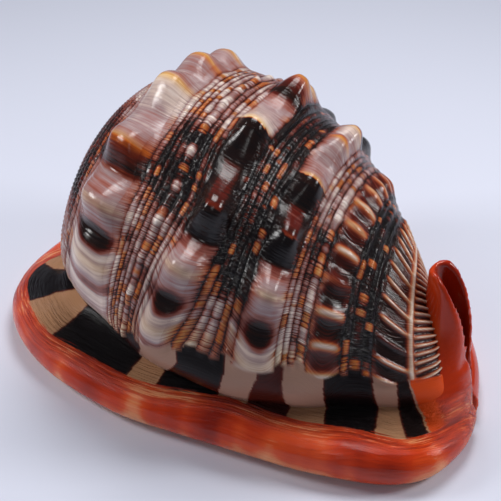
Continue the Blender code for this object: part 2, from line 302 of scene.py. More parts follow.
class Flank:
    """The smooth barred flank between the whorl's texture and the enamel ledge on the lip."""

    # The ledge in plan, from the spire end to the canal.
    ledge: tuple = (
        (-60.0, -2.0), (-63.5, -7.0), (-66.0, -12.0), (-68.7, -18.0), (-69.0, -24.0),
        (-66.0, -30.0), (-57.5, -38.0), (-45.8, -44.6), (-34.0, -46.0), (-19.6, -47.2),
        (-6.0, -46.2), (5.0, -42.5), (16.7, -39.0), (29.4, -37.5), (40.7, -34.5),
        (50.8, -29.5), (61.0, -25.0), (67.0, -18.0), (70.0, -11.0),
    )
    lead: float = 11.7
    # Runs along the ledge, past its lead, where a bar begins, what it is there (0 black, 0.7 tan,
    # 1 orange), and how far its upper end leans towards the canal.
    bars: tuple = (
        (-12.0, 0.0, 0.0), (-3.0, 0.63, 0.0), (7.5, 0.0, 6.0), (28.2, 0.53, 22.0),
        (47.6, 0.0, 9.0), (75.8, 0.7, 6.5), (85.5, 0.0, 7.0), (103.3, 0.7, 4.2),
        (111.9, 0.25, 4.7), (124.4, 0.7, -0.8), (135.0, 0.0, -1.1), (148.7, 0.65, -2.4),
        (157.6, 0.05, -4.0), (164.6, 1.0, -5.0),
    )
    # A bar leans from this height, by all its lean over the same height again.
    lean_from: float = 14.0
    bar_edge: float = 1.6
    # Behind the ledge's ends the orange callus covers the flank: from this y, over so much of it.
    callus_from: float = 2.0
    callus_over: float = 8.0

    @staticmethod
    def colours(tan: Shade) -> tuple:
        """The ramp of the bars, with the tan of a place."""
        return ((0.0, Shade.PITCH), (0.17, Shade.UMBER), (0.35, Shade.OXBLOOD), (0.53, tan),
                (0.74, tan), (0.95, Shade.CORAL))

    @classmethod
    def measure(cls, points: Array) -> tuple[Array, Array]:
        """Finds where points lie along the ledge.

        Args:
            points: points in millimetres.

        Returns:
            The run along the ledge beside each point, and how far each lies outside it in plan.
        """
        line = curve_through(cls.ledge, 500)
        runs = np.r_[0.0, np.cumsum(np.linalg.norm(np.diff(line, axis=0), axis=1))]
        ahead = np.gradient(line, axis=0)
        ahead /= np.linalg.norm(ahead, axis=1, keepdims=True)
        tree = KDTree(len(line))
        for number, (x, y) in enumerate(line):
            tree.insert((x, y, 0.0), number)
        tree.balance()
        near = np.array([tree.find((x, y, 0.0))[1] for x, y in points[:, :2]])
        away = points[:, :2] - line[near]
        outside = ahead[near, 1] * away[:, 0] - ahead[near, 0] * away[:, 1]
        return runs[near] - cls.lead, outside

    @classmethod
    def pattern(cls, points: Array, run: Array) -> Array:
        """0 in black bars, 0.7 in tan ones and 1 in the orange beside the canal.

        Args:
            points: points in millimetres.
            run: the run along the ledge beside each.

        Returns:
            A value for each point.
        """
        up = np.clip(points[:, 2] / cls.lean_from - 1.0, 0.0, 1.2)
        value = np.full(len(points), cls.bars[0][1])
        for (_, before, _), (start, level, lean) in zip(cls.bars, cls.bars[1:]):
            past = (run - start - lean * up) / cls.bar_edge
            value += (level - before) * smooth_step(past + 0.5)
        callus = smooth_step((points[:, 1] - cls.callus_from) / cls.callus_over)
        return value + (1.0 - value) * callus


@dataclass(frozen=True)
class PolishedWhorl:
    """Snail shell, aragonite, ground and oiled: wet-looking gloss over growth bands of pigment.

    Aragonite's index starts at 1.53. The specular level is under the usual half, so that the
    darkest pigment stays black between small sharp glints, as in the photo.
    """

    ior: float = 1.53
    specular: float = 0.34
    roughness: float = 0.13
    # The share of the gloss that the flank lacks, which is neither ground nor oiled.
    bareness: float = 0.7
    # Growth lines, guessed at 0.2 mm apart on a real shell, are drawn about half a millimetre
    # apart so that they show: a degree is 0.8 mm at the widest turn. They hold for 11 mm across.
    striae_per_degree: float = 1.4
    striae_across: float = 0.09
    # Clouds for each metre, so they are 7 mm wide.
    cloud_scale: float = 140.0
    # How a cord varies in shade, golden runs and fine ticks: changes for each degree, the step from
    # cord to cord, the place in the noise and its detail. The ticks are 0.3 mm apart.
    cord_noises: tuple = ((0.17, 3.7, 0.0, 1.0), (0.15, 5.3, 40.0, 1.0), (2.5, 0.31, 80.0, 2.0))
    # How far each of these moves the pigment, on its way from 0, ivory, to 1, black.
    by_groove: float = 0.45
    by_tick: float = 0.26
    by_shade: float = 0.16
    by_cord: float = 0.3
    by_thread: float = 0.45
    by_cloud: float = 0.25
    by_thread_on_bars: float = 0.18
    # Golden runs start from their own pigment, with more contrast.
    golden_pigment: float = 0.42
    golden_contrast: float = 1.1
    golden_warmth: float = 0.9
    relief_mm: float = 0.4
    cool: tuple = (
        (0.0, Shade.IVORY), (0.15, Shade.CREAM), (0.32, Shade.MAUVE), (0.47, Shade.ROSE),
        (0.64, Shade.OXBLOOD), (0.80, Shade.UMBER), (1.0, Shade.PITCH))
    warm: tuple = (
        (0.0, Shade.HONEY), (0.22, Shade.GOLD), (0.45, Shade.AMBER), (0.64, Shade.RUSSET),
        (0.82, Shade.UMBER), (1.0, Shade.PITCH))

    def make(self) -> bpy.types.Material:
        """Paints pigment, beaded cords, growth lines and the flank's bars."""
        paint = Paint("oiled_aragonite")
        add = paint.add
        mark = {name: add("Attribute", attribute_name=name).outputs["Fac"] for name in (
            "pigment", "warm", "cords", "cord", "line", "place", "bars", "flank")}
        # Growth lines run across the whorl, over soft clouds.
        along = add("Math", {0: mark["line"], 1: self.striae_per_degree}, operation="MULTIPLY")
        across = add("Math", {0: mark["place"], 1: self.striae_across}, operation="MULTIPLY")
        threads = add("TexNoise", {"Vector": add("CombineXYZ", {0: along, 1: across}),
                                   "Scale": 1.0, "Detail": 3.0, "Roughness": 0.6})
        threads = add("Math", {0: threads, 1: 0.5}, operation="SUBTRACT")
        clouds = add("TexNoise", {"Vector": add("TexCoord").outputs["Object"],
                                  "Scale": self.cloud_scale, "Detail": 2.0})
        clouds = add("Math", {0: clouds, 1: 0.5}, operation="SUBTRACT")
        # Each cord has its own shade, changes it in long runs, and is crossed by fine dark ticks.
        cord = add("Math", {0: mark["cord"]}, operation="FLOOR")
        own = add("TexWhiteNoise", {"W": cord}, noise_dimensions="1D")
        noises = []
        for pace, step, start, detail in self.cord_noises:
            shift = add("Math", {0: cord, 1: step, 2: start}, operation="MULTIPLY_ADD")
            pacing = add("Math", {0: mark["line"], 1: pace}, operation="MULTIPLY")
            noises.append(add("TexNoise", {"Vector": add("CombineXYZ", {0: pacing, 1: shift}),
                                           "Scale": 1.0, "Detail": detail}))
        # Noise is mostly between 0.3 and 0.7, and these ranges take its high or low part.
        shade = add("MapRange", {0: noises[0], 1: 0.36, 2: 0.64, 3: -1.0, 4: 1.0})
        golden = add("MapRange", {0: noises[1], 1: 0.56, 2: 0.61})
        tick = add("MapRange", {0: noises[2], 1: 0.50, 2: 0.40})
        # Cords are round: their counts are whole in the grooves between them.
        angle = add("Math", {0: mark["cord"], 1: math.pi}, operation="MULTIPLY")
        wave = add("Math", {0: angle}, operation="SINE")
        wave = add("Math", {0: wave}, operation="ABSOLUTE")
        profile = add("Math", {0: wave, 1: 0.6}, operation="POWER")
        groove = add("Math", {0: 0.85, 1: profile}, operation="SUBTRACT")
        mixed = add("Math", {0: groove, 1: self.by_groove}, operation="MULTIPLY")
        mixed = add("Math", {0: tick, 1: self.by_tick, 2: mixed}, operation="MULTIPLY_ADD")
        dark_golden = add("Math", {0: mixed, 1: self.golden_contrast, 2: self.golden_pigment},
                          operation="MULTIPLY_ADD")
        mixed = add("Math", {0: shade, 1: self.by_shade, 2: mixed}, operation="MULTIPLY_ADD")
        apart = add("Math", {0: own, 1: 0.5}, operation="SUBTRACT")
        mixed = add("Math", {0: apart, 1: self.by_cord, 2: mixed}, operation="MULTIPLY_ADD")
        level = add("Math", {0: mixed, 1: mark["cords"], 2: mark["pigment"]},
                    operation="MULTIPLY_ADD")
        golden = add("Math", {0: golden, 1: mark["cords"]}, operation="MULTIPLY")
        level = add("Mix", {"Factor": golden, 2: level, 3: dark_golden},
                    data_type="FLOAT").outputs[0]
        for value, weight in ((threads, self.by_thread), (clouds, self.by_cloud)):
            level = add("Math", {0: value, 1: weight, 2: level}, operation="MULTIPLY_ADD")
        cool, warm = (add("ValToRGB", {0: level}, ramp=ramp) for ramp in (self.cool, self.warm))
        warmth = add("Math", {0: golden, 1: self.golden_warmth, 2: mark["warm"]},
                     operation="MULTIPLY_ADD", use_clamp=True)
        body = add("Mix", {"Factor": warmth, "A": cool, "B": warm}, data_type="RGBA")
        barred = add("Math", {0: threads, 1: self.by_thread_on_bars, 2: mark["bars"]},
                     operation="MULTIPLY_ADD")
        bars = add("ValToRGB", {0: barred}, ramp=Flank.colours(Shade.TAN))
        coloured = add("Mix", {"Factor": mark["flank"], "A": body, "B": bars}, data_type="RGBA")
        bead = add("Math", {0: tick, 1: -0.7, 2: profile}, operation="MULTIPLY_ADD")
        relief = add("Math", {0: bead, 1: mark["cords"]}, operation="MULTIPLY")
        relief = add("Math", {0: threads, 1: 0.5, 2: relief}, operation="MULTIPLY_ADD")
        bump = add("Bump", {"Height": relief, "Distance": self.relief_mm * MM, "Strength": 0.8})
        gloss = add("Math", {0: mark["flank"], 1: -self.bareness * self.specular,
                             2: self.specular}, operation="MULTIPLY_ADD")
        paint.link(paint.shader, {
            "Base Color": coloured, "Roughness": self.roughness, "IOR": self.ior,
            "Specular IOR Level": gloss, "Normal": bump})
        return paint.material


@dataclass(frozen=True)
class InnerGlaze:
    """The inside of the whorl: bare aragonite laid down smooth, which looks like warm porcelain."""

    roughness: float = 0.3
    # Clouds for each metre, so they are 17 mm wide.
    cloud_scale: float = 60.0

    def make(self) -> bpy.types.Material:
        """Paints faint clouds over an orange brown ground."""
        paint = Paint("inner_aragonite")
        clouds = paint.add("TexNoise", {"Vector": paint.add("TexCoord").outputs["Object"],
                                        "Scale": self.cloud_scale, "Detail": 2.0})
        colour = paint.add("ValToRGB", {0: clouds}, ramp=(
            (0.3, Shade.AMBER), (0.6, Shade.INSIDE), (0.8, Shade.APRICOT)))
        paint.link(paint.shader, {"Base Color": colour, "Roughness": self.roughness})
        return paint.material


@dataclass(frozen=True)
class LipEnamel:
    """Callus enamel of the lip and shield: a dense aragonite glaze, which looks wet and deep.

    It is laid in thin ragged lamellae, which show as threads beside the ledge. Its values are the
    whorl's, a little rougher because it is as it grew.
    """

    ior: float = 1.53
    specular: float = 0.34
    roughness: float = 0.14
    # The share of the gloss that the bars inside the ledge lack.
    bareness: float = 0.7
    # Changes of the lamellae for each millimetre along the rim and inwards, and each metre up. Real
    # ones are guessed to be finer: these are about 1 mm apart, with weaker fine ones over them.
    lamellae: tuple = (0.06, 1.1, 700.0)
    # Changes of the blotches for each millimetre, so they are 12 mm long and 20 mm deep.
    blotches: tuple = (0.08, 0.05)
    # Clouds for each metre on the shield and underneath, so they are 22 mm wide.
    cloud_scale: float = 45.0
    # How far outside the ledge the lamellae have faded, and how near it they are full, in mm.
    faded_at: float = 5.5
    full_at: float = 2.5
    # Heights in metres between which they fade on the canal's column, and those between which the
    # rim goes from its pale roll under to its red face.
    column_fade: tuple = (0.015, 0.019)
    roll: tuple = (0.001, 0.009)
    # The middle colour at the roll and on the face, on the ramp from apricot to garnet.
    roll_levels: tuple = (0.25, 0.56)
    by_blotch: float = 1.5
    by_thread: float = 1.7
    relief_mm: float = 2.4
    reds: tuple = (
        (0.22, Shade.APRICOT), (0.38, Shade.CORAL), (0.52, Shade.VERMILION), (0.8, Shade.GARNET))

    def make(self) -> bpy.types.Material:
        """Paints blotches along the rim, lamellae up to the ledge, and bars inside it."""
        paint = Paint("callus_enamel")
        add = paint.add
        mark = {name: add("Attribute", attribute_name=name).outputs["Fac"]
                for name in ("run", "ledge", "near", "bars", "barred", "inside", "pale")}
        height = add("SeparateXYZ", {0: add("TexCoord").outputs["Object"]}).outputs["Z"]
        along, inward, upward = (
            add("Math", {0: value, 1: pace}, operation="MULTIPLY")
            for value, pace in zip((mark["run"], mark["ledge"], height), self.lamellae))
        lamellae = add("TexNoise", {
            "Vector": add("CombineXYZ", {0: along, 1: inward, 2: upward}), "Scale": 1.0,
            "Detail": 4.0, "Roughness": 0.65})
        along, inward = (add("Math", {0: value, 1: pace}, operation="MULTIPLY")
                         for value, pace in zip((mark["run"], mark["ledge"]), self.blotches))
        blotch = add("TexNoise", {"Vector": add("CombineXYZ", {0: along, 1: inward}),
                                  "Scale": 1.0, "Detail": 1.0})
        # Away from the rim faint clouds take the blotches' place.
        clouds = add("TexNoise", {"Vector": add("TexCoord").outputs["Object"],
                                  "Scale": self.cloud_scale, "Detail": 1.0})
        clouds = add("Math", {0: clouds, 1: 0.4, 2: 0.3}, operation="MULTIPLY_ADD")
        blotch = add("Mix", {"Factor": mark["near"], 2: clouds, 3: blotch},
                     data_type="FLOAT").outputs[0]
        # Near the ledge the lamellae rule, and on the smooth rim the blotches do.
        ragged = add("MapRange", {
            0: mark["ledge"], 1: self.faded_at, 2: self.full_at, 3: 0.14, 4: 1.0})
        low = add("MapRange", {
            0: height, 1: self.column_fade[0], 2: self.column_fade[1], 3: 1.0, 4: 0.08})
        for share in (low, mark["near"]):
            ragged = add("Math", {0: ragged, 1: share}, operation="MULTIPLY")
        threads = add("Math", {0: lamellae, 1: 0.5}, operation="SUBTRACT")
        threads = add("Math", {0: threads, 1: ragged}, operation="MULTIPLY")
        level = add("MapRange", {0: height, 1: self.roll[0], 2: self.roll[1],
                                 3: self.roll_levels[0], 4: self.roll_levels[1]})
        blotch = add("Math", {0: blotch, 1: 0.5}, operation="SUBTRACT")
        spread = add("Math", {0: ragged, 1: -1.1, 2: self.by_blotch}, operation="MULTIPLY_ADD")
        for value, weight in ((blotch, spread), (ragged, -0.08), (threads, self.by_thread)):
            level = add("Math", {0: value, 1: weight, 2: level}, operation="MULTIPLY_ADD")
        colour = add("ValToRGB", {0: level}, ramp=self.reds)
        # Painted shade: inside the canal's channel the enamel is darkened to garnet.
        deep = add("Mix", {"Factor": mark["inside"], "A": colour, "B": Shade.GARNET},
                   data_type="RGBA")
        light = add("Mix", {"Factor": mark["pale"], "A": deep, "B": Shade.TOOTH},
                    data_type="RGBA")
        # The enamel's edge is ragged too, and the bars show inside it.
        bars = add("ValToRGB", {0: mark["bars"]}, ramp=Flank.colours(Shade.SAND))
        edge = add("Math", {0: threads, 1: 4.0, 2: mark["ledge"]}, operation="MULTIPLY_ADD")
        edge = add("MapRange", {0: edge, 1: 0.15, 2: -0.15})
        edge = add("Math", {0: edge, 1: mark["barred"]}, operation="MULTIPLY")
        whole = add("Mix", {"Factor": edge, "A": light, "B": bars}, data_type="RGBA")
        bump = add("Bump", {"Height": threads, "Distance": self.relief_mm * MM, "Strength": 0.9})
        gloss = add("Math", {0: edge, 1: -self.bareness * self.specular, 2: self.specular},
                    operation="MULTIPLY_ADD")
        paint.link(paint.shader, {
            "Base Color": whole, "Roughness": self.roughness, "IOR": self.ior,
            "Specular IOR Level": gloss, "Normal": bump})
        return paint.material


@dataclass(frozen=True)
class Coil:
    """The helix that the whorl grows on, the same as the part's.

    A turn is 0 at the back, 90 on top and 180 in front. Each station is a place along the axis,
    its drift along the axis in a quarter turn, and the whorl's radius there at the crest.
    """

    axis_y: float = 10.4
    axis_z: float = 43.5
    datum_x: float = -60.0
    dip: float = math.tan(math.radians(10.1))
    growth: float = 3.2
    crest: float = 90.0
    start: float = -20.0
    # From here the whorl goes back to its start, out of sight under the base.
    flank_end: float = 205.0
    back_at_start: float = 340.0
    # The turn at which it stops growing, the share by which the flank is narrower, the turn from
    # which it narrows, and over how many degrees.
    grown_by: float = 190.0
    neck: float = 0.14
    neck_from: float = 178.0
    neck_over: float = 22.0
    underside: float = 10.3
    stations: tuple = (
        (-57.8, 0.0, 0.0), (-57.3, -0.4, 3.0), (-55.8, -1.2, 7.5), (-52.5, -2.9, 15.5),
        (-47.8, -4.4, 24.0), (-41.8, -4.9, 32.4), (-35.8, -3.9, 38.3), (-29.8, -1.4, 41.9),
        (-24.5, 2.2, 43.4), (-13.0, 4.4, 45.8), (-2.0, 6.3, 44.8), (8.0, 7.8, 43.0),
        (16.0, 9.0, 39.4), (24.0, 9.6, 36.0), (31.0, 10.4, 31.2), (37.0, 12.2, 26.8),
        (43.0, 14.8, 21.6), (47.6, 16.6, 16.4), (49.6, 15.6, 13.0), (50.6, 12.0, 8.8),
        (50.2, 6.0, 4.4), (49.8, 0.0, 0.0),
    )

    def under(self, turn: Array) -> Array:
        """How far the whorl has gone back to its start."""
        return smooth_step((turn - self.flank_end) / (self.back_at_start - self.flank_end))

    def width(self, turn: Array) -> Array:
        """How much wider the whorl is at a turn than at the crest."""
        growing = np.clip(turn, self.start, self.grown_by)
        grown = self.growth ** ((growing - self.crest) / 360.0)
        necked = grown * (1.0 - self.neck * smooth_step((turn - self.neck_from) / self.neck_over))
        start = self.growth ** ((self.start - self.crest) / 360.0)
        return necked * (1.0 - self.under(turn)) + start * self.under(turn)

    def surface(self, station: Array, turn: Array) -> tuple[Array, Array]:
        """Points of the plain whorl, and the axis beside each.

        Args:
            station: place, drift and radius of each point.
            turn: the turn of each point.

        Returns:
            The points, and the points of the axis that they turn about.
        """
        quarter = (turn - self.crest) / 90.0 * (1.0 - self.under(turn))
        quarter += (self.start - self.crest) / 90.0 * self.under(turn)
        x = station[..., 0] + station[..., 1] * quarter
        radius = station[..., 2] * self.width(turn)
        axis_z = self.axis_z - (x - self.datum_x) * self.dip
        angle = np.radians(turn)
        centre = np.stack([x, np.full(x.shape, self.axis_y), axis_z], axis=-1)
        away = np.stack([0.0 * x, radius * np.cos(angle), radius * np.sin(angle)], axis=-1)
        return centre + away, centre


class Stage(Enum):
    """What a knob's field looks like from its crest to the next one: stops of phase and pigment."""

    PALE = ((0.0, 0.14), (0.25, 0.18), (0.45, 0.30), (0.8, 0.34), (0.93, 0.42), (1.0, 0.30))
    MAUVE = ((0.0, 0.30), (0.2, 0.36), (0.6, 0.34), (0.85, 0.40), (1.0, 0.20))
    DARK = ((0.0, 0.90), (0.40, 0.97), (0.46, 0.72), (0.80, 0.66), (0.92, 0.70), (1.0, 0.62))
    EMBER = ((0.0, 0.95), (0.45, 0.97), (0.52, 0.58), (0.70, 0.45), (0.85, 0.34), (1.0, 0.20))
    RUST = ((0.0, 0.40), (0.12, 0.62), (0.36, 0.84), (0.46, 0.60), (0.52, 0.36), (0.8, 0.42),
            (1.0, 0.24))
    CAPPED = ((0.0, 0.36), (0.12, 0.62), (0.24, 0.86), (0.30, 0.50), (0.45, 0.34), (0.80, 0.22),
              (1.0, 0.10))
    SPOT = ((0.0, 0.30), (0.2, 0.36), (0.6, 0.38), (0.8, 0.14), (0.9, 0.24), (1.0, 0.12))
    TONGUE = ((0.0, 0.14), (0.22, 0.20), (0.32, 0.56), (0.42, 0.50), (0.48, 0.12), (0.7, 0.26),
              (1.0, 0.10))


@dataclass(frozen=True)
class KnobRow:
    """One spiral row of knobs, each a turn, a height and a stage, and the smooth fields between."""

    place: float
    half_across: float
    field_half: float
    knobs: tuple


@dataclass(frozen=True)
class CordBand:
    """A band of beaded cords between two rows, with its pigment at a few turns."""

    place: float
    half: float
    stops: tuple


@dataclass
class Whorl:
    """The coiled whorl and spire: rows of knobs, beaded cords, ridges and the necked flank."""

    coil: Coil = field(default_factory=Coil)
    rows_across: int = 326
    # The grid's columns by turn: close together where the texture is seen.
    columns: tuple = ((-20.0, 0), (78.0, 66), (184.0, 250), (208.0, 266), (340.0, 278))
    rows: tuple = (
        KnobRow(-27.0, 5.2, 7.0, (
            (-17.0, 0.0, Stage.MAUVE), (8.0, 6.4, Stage.DARK), (40.0, 5.2, Stage.EMBER),
            (73.0, 5.8, Stage.MAUVE), (90.0, 6.4, Stage.MAUVE), (107.0, 6.4, Stage.PALE),
            (132.0, 6.4, Stage.RUST), (151.0, 6.4, Stage.SPOT), (168.0, 6.4, Stage.TONGUE),
            (186.0, 0.0, Stage.TONGUE))),
        KnobRow(-1.0, 4.6, 4.6, (
            (-20.0, 0.0, Stage.MAUVE), (4.0, 7.0, Stage.EMBER), (30.0, 7.2, Stage.DARK),
            (52.0, 0.0, Stage.MAUVE), (71.0, 5.4, Stage.PALE), (80.0, 9.2, Stage.CAPPED),
            (109.0, 7.0, Stage.DARK), (137.0, 7.0, Stage.EMBER), (155.0, 7.0, Stage.SPOT),
            (173.0, 7.0, Stage.TONGUE), (188.0, 0.0, Stage.TONGUE))),
        KnobRow(16.5, 3.8, 4.0, (
            (-6.0, 0.0, Stage.MAUVE), (18.0, 6.2, Stage.EMBER), (44.0, 5.6, Stage.DARK),
            (74.0, 7.8, Stage.PALE), (90.0, 7.6, Stage.MAUVE), (113.0, 6.2, Stage.DARK),
            (134.0, 6.2, Stage.EMBER), (152.0, 6.2, Stage.SPOT), (174.0, 6.2, Stage.TONGUE),
            (190.0, 0.0, Stage.TONGUE))),
    )
    # The share of a knob's height that runs on between the knobs.
    row_swell: float = 0.15
    # How far the pattern of the middle row lies towards the spire, by turn.
    swing: tuple = ((120.0, 0.0), (137.0, -1.5), (150.0, 0.5), (165.0, 4.0), (175.0, 7.0),
                    (185.0, 8.0))
    swing_place: float = -5.0
    swing_half: float = 12.0
    # Knobs are as high as their row says where the whorl has this radius.
    knob_radius: float = 45.0
    knob_half_length: float = 6.0
    knob_edge: float = 2.7
    knob_spread: float = 1.05
    ridge_place: float = 30.0
    ridge_pitch: float = 12.0
    ridge_phase: float = 103.0
    ridge_height: float = 2.2
    ridge_half_length: float = 2.4
    ridge_half_across: float = 3.4
    # Knobs and ridges sink towards the flank by this share, from this turn, and then they end.
    sink: float = 148.0
    sink_over: float = 22.0
    sink_share: float = 0.7
    knobs_end: float = 172.0
    knobs_end_over: float = 12.0
    # How many degrees growth lines bulge in the fields, before and after these turns.
    bulge_degrees: tuple = (2.5, 7.0)
    bulge_turns: tuple = (150.0, 175.0)
    bands: tuple = (
        CordBand(-56.0, 5.0, ((-20.0, 0.6), (190.0, 0.6))),
        CordBand(-45.0, 8.0, ((-20.0, 0.6), (60.0, 0.45), (95.0, 0.36), (110.0, 0.32),
                              (118.0, 0.66), (140.0, 0.78), (156.0, 0.82), (166.0, 0.42),
                              (178.0, 0.34))),
        CordBand(-13.0, 6.6, ((-20.0, 0.5), (40.0, 0.6), (70.0, 0.42), (97.0, 0.26), (112.0, 0.30),
                              (119.0, 0.84), (140.0, 0.86), (147.0, 0.42), (160.0, 0.42),
                              (176.0, 0.42))),
        CordBand(8.6, 4.2, ((-20.0, 0.7), (60.0, 0.74), (100.0, 0.84), (152.0, 0.9),
                            (159.0, 0.36), (176.0, 0.34))),
        CordBand(23.7, 3.2, ((-20.0, 0.6), (88.0, 0.45), (104.0, 0.28), (118.0, 0.34),
                             (128.0, 0.62), (140.0, 0.55), (150.0, 0.28), (176.0, 0.22))),
        CordBand(30.0, 3.0, ((-20.0, 0.66), (110.0, 0.72), (158.0, 0.84), (166.0, 0.74),
                             (171.0, 0.3), (176.0, 0.15))),
        CordBand(36.0, 3.2, ((-20.0, 0.9), (164.0, 0.94), (170.0, 0.4), (176.0, 0.5))),
        CordBand(41.5, 2.6, ((-20.0, 0.76), (140.0, 0.80), (170.0, 0.86), (174.0, 0.3),
                             (180.0, 0.3))),
        CordBand(48.0, 3.2, ((-20.0, 0.70), (120.0, 0.80), (190.0, 0.86))),
    )
    # Where cords begin: the place of every whole count of cords, of uneven widths.
    cords_at: tuple = (
        (-60.0, 0.0), (-35.0, 13.0), (-20.3, 20.0), (-18.7, 21.0), (-17.2, 22.0), (-15.6, 23.0),
        (-13.6, 24.0), (-10.6, 25.0), (-8.7, 26.0), (-7.1, 27.0), (-5.2, 28.0), (4.2, 32.0),
        (5.9, 33.0), (7.4, 34.0), (9.2, 35.0), (10.6, 36.0), (12.4, 37.0), (20.6, 41.0),
        (22.0, 42.0), (23.3, 43.0), (24.8, 44.0), (26.6, 45.0), (33.2, 48.0), (34.6, 49.0),
        (36.8, 50.0), (38.4, 51.0), (50.0, 58.0),
    )
    # How pale the crests of the ridges and of the ribs are, by turn.
    ridge_light: tuple = ((-20.0, 0.8), (97.0, 0.7), (103.0, 0.9), (115.0, 0.7), (127.0, 1.0),
                          (135.0, 0.2), (143.0, 0.2), (150.0, 1.0))
    rib_light: tuple = ((-20.0, 1.0), (149.0, 1.0), (154.0, 0.15), (159.0, 0.15), (163.0, 1.0))
    # Heights and widths are in mm, and a pitch, phase or half length along a row is in degrees.
    bead_pitch: float = 2.0
    cord_height: float = 0.5
    small_knob_place: float = -12.0
    small_knob_pitch: float = 11.0
    small_knob_phase: float = 103.0
    small_knob_height: float = 1.0
    small_knob_half_across: float = 1.6
    small_knob_half_length: float = 2.0
    rib_place: float = 41.6
    rib_pitch: float = 9.7
    rib_phase: float = 98.0
    rib_slope: float = 1.1
    rib_half_length: float = 1.3
    rib_half_across: float = 2.5
    rib_height: float = 0.9
    fine_rib_slope: float = 1.5
    fine_rib_half_length: float = 1.1
    spiral_place: float = 44.6
    spiral_half: float = 0.5
    spiral_height: float = 0.8
    # The turn at which the texture ends on the cords, by place, and how ragged that end is.
    ends: tuple = ((-60.0, 400.0), (-51.0, 400.0), (-44.0, 183.0), (-27.0, 180.5),
                   (-18.0, 182.5), (-9.0, 178.5), (-1.0, 175.0), (9.0, 174.0), (12.0, 172.0),
                   (24.0, 171.0), (50.0, 172.0))
    end_ragged: float = 1.3
    end_bulge: float = 4.0
    # The spire shows the earlier turns: a suture groove with a row of beads beside it.
    spire_radius: float = 24.0
    suture_depth: float = 1.8
    suture_half: float = 0.25
    spire_bead_height: float = 1.6
    spire_beads: float = 14.0
    cavity_centre: tuple = (-9.0, -3.0, 41.0)
    cavity_half: tuple = (37.0, 38.0, 31.0)

    def knob_relief(self, place: Array, grown: Array, turn: Array) -> Array:
        """Height of the knobs and ridges above the plain whorl."""
        relief = np.zeros_like(turn)
        for row in self.rows:
            across = bump_at(place, row.place, self.knob_spread * row.half_across, self.knob_edge)
            heights = [height for _, height, _ in row.knobs if height]
            along = np.max([
                height * bump_at(np.radians(turn - knob) * grown, 0.0, self.knob_half_length)
                for knob, height, _ in row.knobs], axis=0)
            swell = self.row_swell * np.mean(heights)
            along = swell + (1.0 - self.row_swell) * along
            relief += grown / self.knob_radius * across * along
        away = np.radians(from_nearest(turn, self.ridge_phase, self.ridge_pitch)) * grown
        across = bump_at(place, self.ridge_place, self.ridge_half_across)
        relief += self.ridge_height * across * (
            self.row_swell + (1.0 - self.row_swell) * bump_at(away, 0.0, self.ridge_half_length))
        sunk = 1.0 - self.sink_share * smooth_step((turn - self.sink) / self.sink_over)
        left = 1.0 - smooth_step((turn - self.knobs_end) / self.knobs_end_over)
        return relief * sunk * left

    def growth_line(self, place: Array, turn: Array) -> Array:
        """The turn that a growth line keeps, since the lines bulge to the lip in the fields."""
        return turn - self.bulge(place) * self.bulge_depth(turn)

    def bulge(self, place: Array) -> Array:
        """1 in the middle of each row's field, 0 between the rows."""
        rows = sum(bump_at(place, row.place, 1.2 * row.field_half, 3) for row in self.rows)
        return (rows + bump_at(place, self.ridge_place, 2.8)
                + 0.8 * bump_at(place, self.rib_place, 2.4))

    def bulge_depth(self, turn: Array) -> Array:
        """How many degrees the growth lines bulge in the fields."""
        (least, most), (first, last) = self.bulge_degrees, self.bulge_turns
        return least + (most - least) * smooth_step((turn - first) / (last - first))

    def pattern_place(self, place: Array, turn: Array) -> Array:
        """The place in the pattern, because the middle row swings to the spire near the lip."""
        return place + read_off(self.swing, turn) * bump_at(
            place, self.swing_place, self.swing_half)

    def fields(self, place: Array) -> Array:
        """1 in the smooth fields of the knob rows and the ridge row, 0 on the cords between."""
        smooth = sum(bump_at(place, row.place, row.field_half, 6) for row in self.rows)
        smooth += bump_at(place, self.ridge_place, 2.9, 6)
        return np.clip(smooth + smooth_step((place - 38.0) / 1.5), 0.0, 1.0)

    def small_knobs(self, place: Array, turn: Array) -> Array:
        """A row of small knobs among the cords."""
        away = from_nearest(turn, self.small_knob_phase, self.small_knob_pitch)
        return (bump_at(place, self.small_knob_place, self.small_knob_half_across)
                * bump_at(away, 0.0, self.small_knob_half_length))

    def ribs(self, place: Array, turn: Array) -> Array:
        """Narrow oblique ribs towards the canal, finer beyond the spiral ridge."""
        swept = turn - self.rib_slope * (place - self.rib_place)
        wide = bump_at(from_nearest(swept, self.rib_phase, self.rib_pitch), 0.0,
                       self.rib_half_length)
        wide = wide * bump_at(place, self.rib_place, self.rib_half_across, 6)
        swept = turn + self.fine_rib_slope * (place - self.spiral_place)
        narrow = bump_at(from_nearest(swept, 0.0, 0.5 * self.rib_pitch), 0.0,
                         self.fine_rib_half_length)
        return wide + narrow * smooth_step((place - self.spiral_place - 0.4) / 0.6)

    def cord_relief(self, place: Array, turn: Array) -> Array:
        """Height of cords, beads, small knobs, ribs and the spiral ridge."""
        cord = read_off(self.cords_at, place)
        bead = self.growth_line(place, turn) / self.bead_pitch
        # The grid is too coarse for beads before the crest, and cords fade out up the spire.
        beads = np.sin(math.pi * bead) ** 2 * smooth_step((turn - 70.0) / 15.0)
        cords = np.sin(math.pi * cord) ** 2 * (0.6 + 0.4 * beads)
        cords *= (1.0 - self.fields(place)) * smooth_step((place + 56.0) / 8.0)
        relief = self.cord_height * cords
        relief += self.small_knob_height * self.small_knobs(place, turn)
        relief += self.rib_height * self.ribs(place, turn) + self.spiral_height * bump_at(
            place, self.spiral_place, self.spiral_half)
        return relief * (1.0 - smooth_step(self.past_end(place, turn) / 2.5))

